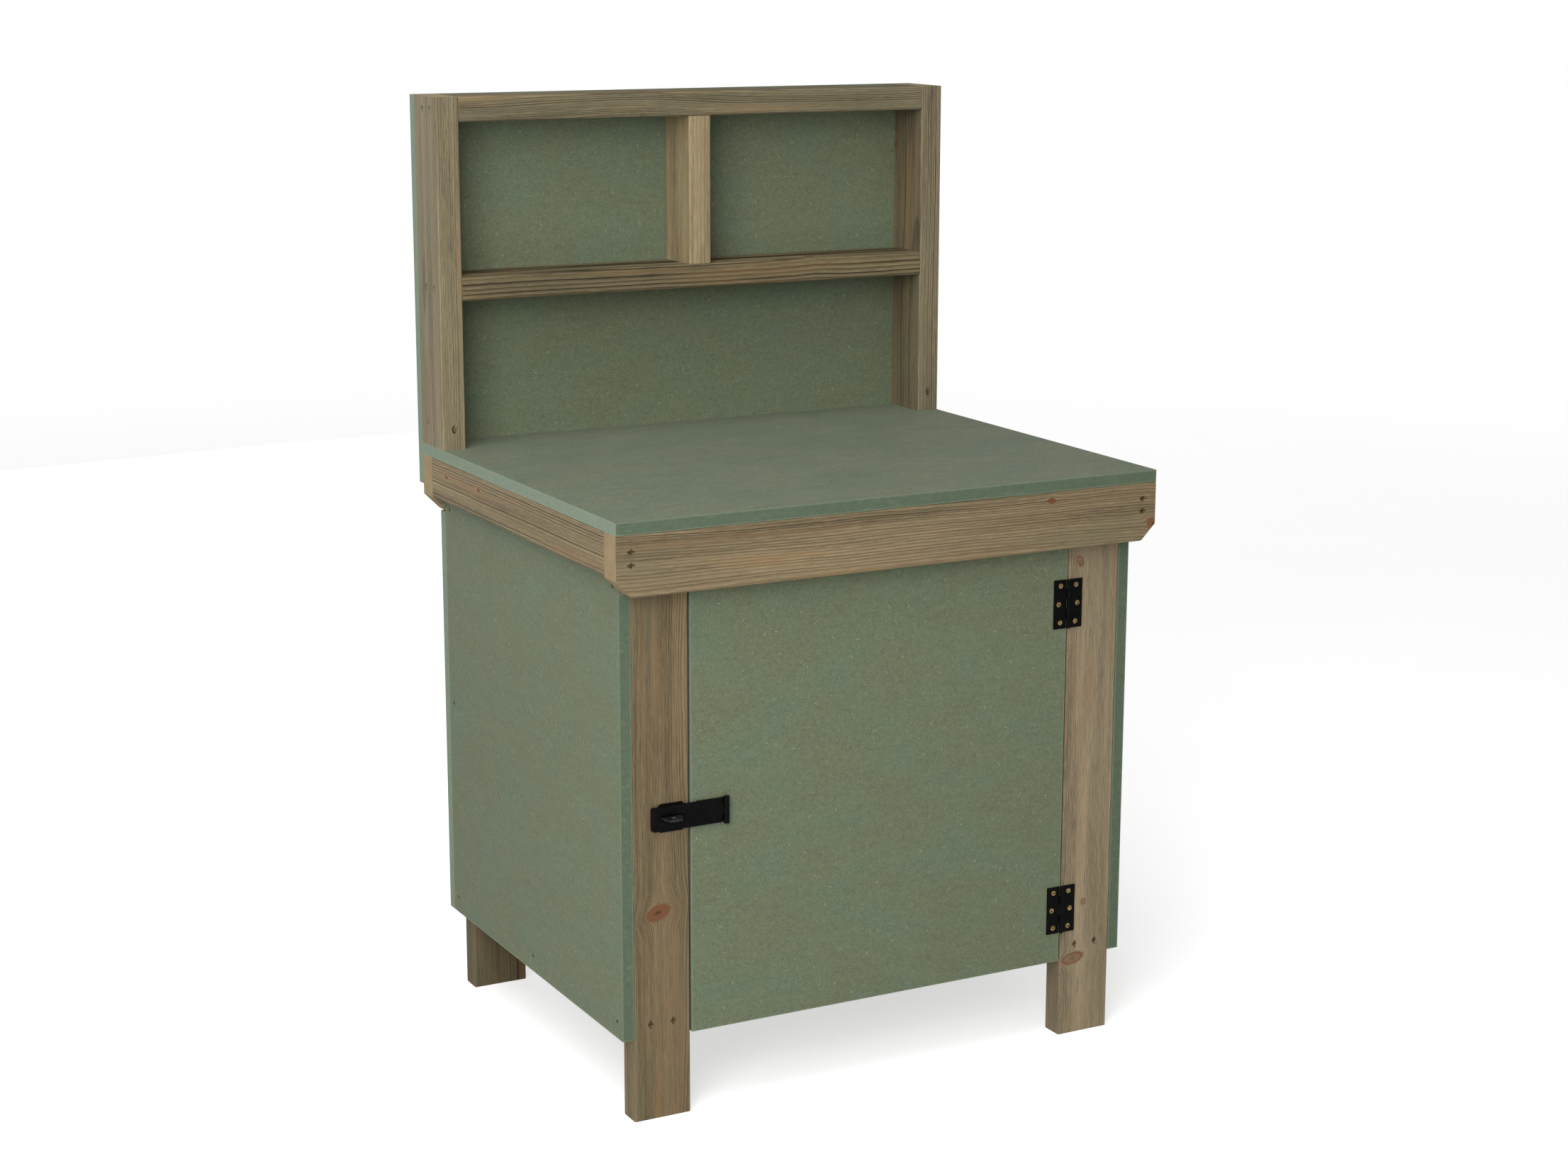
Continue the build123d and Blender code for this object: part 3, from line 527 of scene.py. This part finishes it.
def make_edge_group():
    """Distance from a box's nearest edge, for a point on its surface measured from its middle."""
    tree, given, result = new_group(
        "distance_to_edge",
        [("Vector", "Vector", (0, 0, 0)), ("Half size", "Vector", (1, 1, 1))],
        [("Distance", "Float")],
    )
    away = calc_vector(tree, "ABSOLUTE", given["Vector"])
    x, y, z = parts_of(tree, calc_vector(tree, "SUBTRACT", given["Half size"], away))
    least = calc(tree, "MINIMUM", calc(tree, "MINIMUM", x, y), z)
    most = calc(tree, "MAXIMUM", calc(tree, "MAXIMUM", x, y), z)
    # On a face the least of the three is nil, and the next one is how far the edge is.
    without_most = calc(tree, "SUBTRACT", add(tree, x, y, z), most)
    tree.links.new(calc(tree, "SUBTRACT", without_most, least), result["Distance"])
    return tree


STRAND_BEND = 0.35        # how far a strand's ends turn aside, as a share of its half length
SHORTEST_STRAND = 0.2     # beside the longest


def make_strand_group():
    """Thin, slightly bent wood strands in the plane of a board, at most one in each cell."""
    tree, given, result = new_group(
        "strands",
        [
            ("Vector", "Vector", (0, 0, 0)),
            ("Cell size", "Float", 0.015),
            ("Half length", "Float", 0.002),
            ("Half width", "Float", 0.0003),
            ("Share", "Float", 0.5),
        ],
        [("Strand", "Float")],
    )
    sockets = {"Vector": given["Vector"], "Scale": calc(tree, "DIVIDE", 1.0, given["Cell size"])}
    cells = place(tree, "TexVoronoi", sockets, voronoi_dimensions="2D").outputs
    away = calc_vector(tree, "SUBTRACT", given["Vector"], cells["Position"])
    spin, curl, extent = parts_of(tree, cells["Color"])
    parts = parts_of(tree, turned_flat(tree, away, times(tree, spin, math.tau)))
    along = calc(tree, "DIVIDE", calc(tree, "ABSOLUTE", parts[0]), given["Half length"])
    bend = times(tree, around_zero(tree, curl, STRAND_BEND), given["Half length"])
    aside = calc(tree, "MULTIPLY_ADD", times(tree, along, along), bend, parts[1])
    across = calc(tree, "DIVIDE", calc(tree, "ABSOLUTE", aside), given["Half width"])
    extent = calc(tree, "MULTIPLY_ADD", extent, 1 - SHORTEST_STRAND, SHORTEST_STRAND)
    ends = fade(tree, calc(tree, "DIVIDE", along, extent), 0.8, 1.0, 1.0, 0.0)
    sides = fade(tree, across, 0.5, 1.4, 1.0, 0.0)
    lot = place(tree, "TexWhiteNoise", {"Vector": cells["Position"]},
                noise_dimensions="3D").outputs[0]
    chosen = calc(tree, "LESS_THAN", lot, given["Share"])
    tree.links.new(times(tree, ends, sides, chosen), result["Strand"])
    return tree


PALE_STRAND = colour(178, 170, 134)
DARK_STRAND = colour(58, 66, 50)
CHALKY = colour(146, 158, 134)
SMEARED = 0.25              # how chalky the smears on a cut edge are
WORN = 0.30                 # and the worn arrises
FRAYED = 0.0024             # how far in from an arris the wear frays
WEAR_FADES = (-0.0003, 0.0006)
MDF_ROUGHNESS = 0.58
CUT_EDGE_ROUGHER = 0.20
MDF_RELIEF = 0.00022        # height of the raised fibres
FUZZ_PROUD, CLUMPS_PROUD, CUT_GRIT_PROUD = 0.8, 0.3, 1.2      # shares of it
MDF_SHINE = 0.15
LAYER_SHIFT = (71, 37, 0)   # cells by which a layer of strands is moved, so layers don't match


def make_mdf_group():
    """Moisture resistant MDF: mottled pressed fibre with pale strands, and a greener cut edge."""
    tree, given, result = new_group(
        "green_mdf",
        [
            ("Vector", "Vector", (0, 0, 0)),
            ("Cut edge", "Float", 0.0),
            ("Edge distance", "Float", 1.0),
            ("Face", "Color", (0.15, 0.18, 0.12, 1)),
            ("Blue patch", "Color", (0.13, 0.18, 0.13, 1)),
            ("Core", "Color", (0.12, 0.16, 0.10, 1)),
            ("Scuffs", "Float", 0.0),
            ("Seed", "Float", 0.0),
        ],
        [("Colour", "Color"), ("Roughness", "Float"), ("Height", "Float")],
    )
    moved = scaled(tree, (2.1, 1.3, 2.7), given["Seed"])
    seeded = calc_vector(tree, "ADD", given["Vector"], moved)
    broad = noise(tree, seeded, (9, 14, 9), 3.0, 0.55)
    clumps = noise(tree, seeded, (130, 130, 130), 3.0, 0.65)
    fuzz = noise(tree, seeded, (520, 520, 520), 3.0, 0.7)
    tone = mottle(tree, (clumps, 0.24), (fuzz, 0.50), (broad, 0.10))

    # Scuffs from sanding and use run along the board's first axis.
    scuffs = noise(tree, seeded, (24, 80, 80), 4.0, 0.62)
    scuffs = calc(tree, "SUBTRACT", fade(tree, scuffs, 0.36, 0.64), 0.5)
    tone = calc(tree, "MULTIPLY_ADD", scuffs, given["Scuffs"], tone)
    face = mix(tree, fade(tree, broad, 0.35, 0.70), given["Face"], given["Blue patch"])
    face = scaled(tree, face, add(tree, tone, 1.0))

    # Pale and dark wood strands pressed into the face: cell size, half length, half width,
    # share of the cells that have one, colour and strength.
    strands = [
        (0.030, 0.0034, 0.00046, 0.40, PALE_STRAND, 0.70),
        (0.013, 0.0023, 0.00034, 0.45, PALE_STRAND, 0.42),
        (0.0070, 0.0013, 0.00034, 0.45, PALE_STRAND, 0.25),
        (0.0110, 0.0009, 0.00042, 0.45, DARK_STRAND, 0.55),
    ]
    for cell, half_length, half_width, share, shade, strength in strands:
        values = {
            "Vector": calc_vector(tree, "ADD", seeded, [cell * shift for shift in LAYER_SHIFT]),
            "Cell size": cell,
            "Half length": half_length,
            "Half width": half_width,
            "Share": share,
        }
        strand = use_group(tree, STRANDS, values)["Strand"]
        face = mix(tree, times(tree, strand, strength), face, shade)

    # A cut edge shows the core, gritty and a little smeared, and the arrises are worn pale.
    grit = noise(tree, seeded, (900, 900, 900), 3.0, 0.75)
    smear = fade(tree, noise(tree, seeded, (26, 120, 120), 3.0, 0.6), 0.55, 0.80)
    core_tone = mottle(tree, (grit, 0.55), (clumps, 0.16))
    core = scaled(tree, given["Core"], add(tree, core_tone, 1.0))
    core = mix(tree, times(tree, smear, SMEARED), core, CHALKY)
    board = mix(tree, given["Cut edge"], face, core)
    inward = calc(tree, "SUBTRACT", given["Edge distance"], times(tree, fuzz, FRAYED))
    worn = fade(tree, inward, *WEAR_FADES, 1.0, 0.0)
    board = mix(tree, times(tree, worn, WORN), board, CHALKY)
    tree.links.new(board, result["Colour"])

    rough = add(tree, around_zero(tree, clumps, 0.10), MDF_ROUGHNESS)
    rough = calc(tree, "MULTIPLY_ADD", given["Cut edge"], CUT_EDGE_ROUGHER, rough)
    tree.links.new(rough, result["Roughness"])
    relief = calc(tree, "MULTIPLY_ADD", fuzz, FUZZ_PROUD, times(tree, clumps, CLUMPS_PROUD))
    relief = add(tree, relief, times(tree, grit, given["Cut edge"], CUT_GRIT_PROUD))
    tree.links.new(relief, result["Height"])
    return tree


EDGE = make_edge_group()
STRANDS = make_strand_group()
MDF = make_mdf_group()
MDF_FACE = colour(109, 116, 92)
MDF_BLUE = colour(103, 115, 94)
MDF_CORE = colour(90, 104, 85)         # saw-cut edge
MDF_SHEEN_CORE = colour(127, 140, 122)  # edges that look left or right: painted highlight, where the light from the left catches them
FACE_TURNS = (0.4, 0.6)                # shares of the normal through which a face turns


def mdf(node, thin_axis, seed, face=MDF_FACE, blue=MDF_BLUE, scuffs=0.05):
    """Green MDF for one board; thin_axis is the axis through its thickness."""
    material, tree, shader = new_material(node + "_mdf")
    low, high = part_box(node)
    thin = "xyz".index(thin_axis)
    flat = [axis for axis in range(3) if axis != thin]
    where = place(tree, "TexCoord").outputs
    centred = calc_vector(tree, "SUBTRACT", where["Object"], tuple((low + high) / 2))
    distance = use_group(tree, EDGE, {"Vector": centred, "Half size": tuple((high - low) / 2)})
    frame_parts = parts_of(tree, centred)
    facing = parts_of(tree, calc_vector(tree, "ABSOLUTE", where["Normal"]))
    # Edges that look left or right get the lighter core: a painted highlight.
    sheen_side = fade(tree, facing[0], *FACE_TURNS)
    values = {
        "Vector": vector_from(tree, [frame_parts[axis] for axis in (*flat, thin)]),
        "Cut edge": fade(tree, facing[thin], *FACE_TURNS, 1.0, 0.0),
        "Edge distance": distance["Distance"],
        "Face": face,
        "Blue patch": blue,
        "Core": mix(tree, sheen_side, MDF_CORE, MDF_SHEEN_CORE),
        "Scuffs": scuffs,
        "Seed": seed,
    }
    finish_surface(tree, shader, use_group(tree, MDF, values), MDF_RELIEF, MDF_SHINE)
    cover(node, material)


mdf("bottom_shelf", "z", seed=1.0)


# ---- Worktop, side panels and back boards -------------------------------------------------
# 18 mm green MDF: the worktop lies on the frame and is pinned to it, the side panels close
# the cupboard under the side rails, and two boards close the back, low and high.

mdf("worktop", "z", seed=2.0, face=colour(117, 123, 105), blue=colour(107, 117, 100), scuffs=0.09)
mdf("left_side_panel", "x", seed=3.0)
mdf("right_side_panel", "x", seed=4.0)
mdf("lower_back_panel", "y", seed=5.0)
mdf("upper_back_panel", "y", seed=6.0)


# ---- Posts, top rail, shelf and divider ---------------------------------------------------
# Five softwood lengths on the back of the worktop, screwed together through the posts'
# outer faces, down into the worktop and through the boards.

POST_FRONT = 0.266
POST_SCREWS = [(0.321, 1.411), (0.289, 1.411), (0.321, 1.139), (0.289, 1.139), (0.329, 0.930)]
TOE_SCREW = (0.426, POST_FRONT, 0.922)


def post_screws(side):
    """The screws into a post's outer face, and the slanting one in its front edge."""
    across, y, z = TOE_SCREW
    return [(side * SIDE, y, z) for y, z in POST_SCREWS] + [(side * across, y, z)]


# The posts' faces that look left are darkened by a painted shade, the right post's most.
softwood("left_post", "z", "y", pith=(0.020, 0.085), rings=0.0028, seed=21.4, lines=0.6,
         early=colour(139, 128, 101), late=colour(72, 58, 37), left_face_shade=0.85,
         screws=post_screws(-1))
softwood("right_post", "z", "y", pith=(-0.030, 0.060), rings=0.0036, seed=22.7,
         early=colour(132, 121, 96), late=colour(56, 44, 28), left_face_shade=0.64,
         knots=[((0.407, 0.350, 1.330), 0.007, 0.005, 15)],
         screws=post_screws(1))
softwood("top_rail", "x", "y", pith=(0.020, -0.090), rings=0.0027, seed=23.8, waver=0.006,
         lines=0.95, early=colour(113, 105, 81), late=colour(48, 40, 25),
         knots=[((-0.090, 0.300, 1.430), 0.012, 0.009, 20)])
softwood("upper_shelf", "x", "y", pith=(0.010, -0.080), rings=0.0058, seed=24.3, lines=1.0,
         early=colour(119, 107, 79), late=colour(28, 20, 10), stain=0.1,
         knots=[((0.210, 0.290, 1.158), 0.010, 0.008, 0),
                ((-0.310, 0.320, 1.158), 0.007, 0.006, 30)])
softwood("divider", "z", "y", pith=(0.040, 0.060), rings=0.0040, seed=25.9, lines=0.5,
         early=colour(153, 137, 105), late=colour(108, 90, 62), stain=0.2)


# ---- Door ---------------------------------------------------------------------------------
# One sheet of the same MDF, cut to stand 3 mm clear between the legs and flush with them.
# It hangs on the two hinges on its right, and the hasp holds it shut on its left.

mdf("door", "y", seed=7.0)


# ---- Screws and pins ----------------------------------------------------------------------
# Yellow passivated countersunk screws with a cross recess, sunk into the wood, dull, and
# darkened by a painted shade of their pockets, and lost-head pins in the worktop.

PITS_SHARE = 0.4        # of the dullness; the rest comes in clouds


def make_metal_group():
    """A metal finish that is cloudy, finely pitted and scuffed."""
    tree, given, result = new_group(
        "cloudy_metal",
        [
            ("Vector", "Vector", (0, 0, 0)),
            ("Clean", "Color", (0.5, 0.4, 0.2, 1)),
            ("Dull", "Color", (0.2, 0.15, 0.1, 1)),
            ("Smoothest", "Float", 0.3),
            ("Roughest", "Float", 0.5),
            ("Grain size", "Float", 0.001),
        ],
        [("Colour", "Color"), ("Roughness", "Float"), ("Height", "Float")],
    )
    fine = calc(tree, "DIVIDE", 1.0, given["Grain size"])
    sockets = {"Vector": given["Vector"], "Scale": fine, "Detail": 3.0, "Roughness": 0.6}
    pits = place(tree, "TexNoise", sockets).outputs[0]
    clouds = noise(tree, given["Vector"], (160, 160, 160), 3.0, 0.6)
    dull = calc(tree, "MULTIPLY_ADD", pits, PITS_SHARE, times(tree, clouds, 1 - PITS_SHARE))
    dull = fade(tree, dull, 0.42, 0.60)
    tree.links.new(mix(tree, dull, given["Clean"], given["Dull"]), result["Colour"])
    spread = calc(tree, "SUBTRACT", given["Roughest"], given["Smoothest"])
    rough = calc(tree, "MULTIPLY_ADD", dull, spread, given["Smoothest"])
    tree.links.new(rough, result["Roughness"])
    tree.links.new(pits, result["Height"])
    return tree


METAL = make_metal_group()


def metal(name, nodes, clean, dull, smoothest, roughest, grain_size, relief, metallic, shine=0.5):
    """One metal finish for a list of CAD nodes."""
    material, tree, shader = new_material(name)
    shader.inputs["Metallic"].default_value = metallic
    values = {
        "Vector": place(tree, "TexCoord").outputs["Object"],
        "Clean": clean,
        "Dull": dull,
        "Smoothest": smoothest,
        "Roughest": roughest,
        "Grain size": grain_size,
    }
    finish_surface(tree, shader, use_group(tree, METAL, values), relief, shine)
    for node in nodes:
        cover(node, material)


# The wood screws' dark colour is partly dull zinc and partly painted shade of their pockets.
metal("shaded_dull_yellow_zinc",
      ["front_rail_screws", "back_rail_screws", "leg_head_screws", "leg_foot_screws",
       "base_frame_screws", "bottom_shelf_screws", "left_panel_screws", "right_panel_screws",
       "lower_back_screws", "upper_back_screws", "post_screws", "post_toe_screws",
       "divider_screws"],
      clean=(0.30, 0.21, 0.09, 1), dull=(0.10, 0.07, 0.035, 1), smoothest=0.35, roughest=0.6,
      grain_size=0.0006, relief=0.00006, metallic=0.9)
metal("bright_steel_pin", ["worktop_pins"], clean=(0.42, 0.42, 0.40, 1),
      dull=(0.20, 0.19, 0.17, 1), smoothest=0.3, roughest=0.55, grain_size=0.0005,
      relief=0.00004, metallic=1.0)


# ---- Butt hinges --------------------------------------------------------------------------
# Two pressed steel butt hinges with rolled knuckles, black coated, on the faces of the door
# and the leg, each with six brassed countersunk screws.

BLACK = {
    "clean": (0.002, 0.002, 0.002, 1),
    "dull": (0.004, 0.004, 0.004, 1),
    "smoothest": 0.30,
    "roughest": 0.48,
    "grain_size": 0.0009,
    "relief": 0.00008,
    "metallic": 0.0,
    "shine": 0.07,
}
HINGE_PARTS = ("leg_leaf", "door_leaf", "pin")
metal("black_coated_hinge",
      [f"{level}_hinge_{part}" for level in ("upper", "lower") for part in HINGE_PARTS], **BLACK)
metal("brassed_screw", ["hinge_leg_screws", "hinge_door_screws"],
      clean=(0.58, 0.43, 0.20, 1), dull=(0.26, 0.18, 0.08, 1), smoothest=0.25, roughest=0.45,
      grain_size=0.0005, relief=0.00004, metallic=1.0)


# ---- Hasp and staple ----------------------------------------------------------------------
# A black safety hasp: the strap folds over its own fixing screws and the staple's flat eye
# comes through its slot, so that a padlock hides every screw.

metal("black_coated_hasp", ["hasp_strap", "hasp_base", "hasp_pin", "staple_plate"], **BLACK)
metal("worn_black_eye", ["staple_eye"], clean=(0.010, 0.010, 0.010, 1),
      dull=(0.045, 0.044, 0.042, 1), smoothest=0.18, roughest=0.42, grain_size=0.0011,
      relief=0.00010, metallic=0.3, shine=0.4)
metal("black_screw", ["hasp_screws", "staple_screws"], clean=(0.03, 0.03, 0.03, 1),
      dull=(0.05, 0.05, 0.048, 1), smoothest=0.35, roughest=0.5, grain_size=0.0005,
      relief=0.00004, metallic=0.6)


# ---- Floor, light and camera --------------------------------------------------------------
# A pale studio floor under a weak, even sky, with three large soft lamps: the main one in
# front on the left, one overhead, and one behind that fills in the back.

WHITE = (1.0, 1.0, 1.0, 1.0)
FLOOR_REACH = 60.0
FLOOR_PAINT = ((0.74, 0.74, 0.73, 1), (0.77, 0.77, 0.77, 1))
FLOOR_ROUGHNESS = 0.8
# The floor glows for the camera only, as an overexposed studio floor does, and more so far
# from the bench, where less of the light falls.
FLOOR_GLOW_NEAR, FLOOR_GLOW_FAR = 0.58, 0.81
GLOW_CHANGES_FROM, GLOW_CHANGES_TO = 2.0, 9.0
SKY = 0.25              # as the bench sees it; the camera sees it white

floor_mesh = bpy.data.meshes.new("floor")
corners = [(-FLOOR_REACH, -FLOOR_REACH), (FLOOR_REACH, -FLOOR_REACH),
           (FLOOR_REACH, FLOOR_REACH), (-FLOOR_REACH, FLOOR_REACH)]
floor_mesh.from_pydata([(x, y, 0.0) for x, y in corners], [], [(0, 1, 2, 3)])
floor = bpy.data.objects.new("floor", floor_mesh)
bpy.context.scene.collection.objects.link(floor)
paint, tree, shader = new_material("white_floor")
where = place(tree, "TexCoord").outputs["Object"]
speck = noise(tree, where, (3, 3, 3), 2.0)
tree.links.new(mix(tree, speck, *FLOOR_PAINT), shader.inputs["Base Color"])
shader.inputs["Roughness"].default_value = FLOOR_ROUGHNESS
shader.inputs["Emission Color"].default_value = WHITE
glow = fade(tree, length_of(tree, where), GLOW_CHANGES_FROM, GLOW_CHANGES_TO,
            FLOOR_GLOW_NEAR, FLOOR_GLOW_FAR)
seen = place(tree, "LightPath").outputs["Is Camera Ray"]
tree.links.new(times(tree, seen, glow), shader.inputs["Emission Strength"])
floor_mesh.materials.append(paint)

scene = bpy.context.scene
scene.view_settings.view_transform = "Standard"
world = bpy.data.worlds.new("studio")
world.use_nodes = True
tree = world.node_tree
sky = tree.nodes["Background"]
sky.inputs["Color"].default_value = WHITE
seen = place(tree, "LightPath").outputs["Is Camera Ray"]
tree.links.new(fade(tree, seen, 0.0, 1.0, SKY, 1.0), sky.inputs["Strength"])
scene.world = world

BENCH_MIDDLE = Vector((0.0, 0.0, 0.7))
LAMP_SIZE = 3.0


def soft_lamp(name, at, power):
    """A large square lamp that faces the middle of the bench."""
    lamp = bpy.data.lights.new(name, "AREA")
    lamp.size = LAMP_SIZE
    lamp.energy = power
    holder = bpy.data.objects.new(name, lamp)
    holder.location = at
    holder.rotation_euler = (BENCH_MIDDLE - Vector(at)).to_track_quat("-Z", "Y").to_euler()
    scene.collection.objects.link(holder)


soft_lamp("key", (-3.2, -3.8, 2.6), power=190)
soft_lamp("overhead", (-1.6, -1.2, 4.4), power=104)
soft_lamp("back_fill", (-0.5, 5.2, 1.0), power=80)

CAMERA_AT = (-2.005, -3.807, 1.653)
CAMERA_YAW = 28.32       # degrees to the right of straight back
CAMERA_PITCH = 12.57     # degrees down
CAMERA_ROLL = 0.20
lens = bpy.data.cameras.new("camera")
lens.sensor_width = 36.0
lens.lens = 65.1
lens.shift_x = -0.0128
lens.shift_y = -0.0056
camera = bpy.data.objects.new("camera", lens)
turn = Matrix.Rotation(math.radians(-CAMERA_YAW), 4, "Z")
tip = Matrix.Rotation(math.radians(90 - CAMERA_PITCH), 4, "X")
roll = Matrix.Rotation(math.radians(CAMERA_ROLL), 4, "Z")
camera.matrix_world = Matrix.Translation(CAMERA_AT) @ turn @ tip @ roll
scene.collection.objects.link(camera)
scene.camera = camera
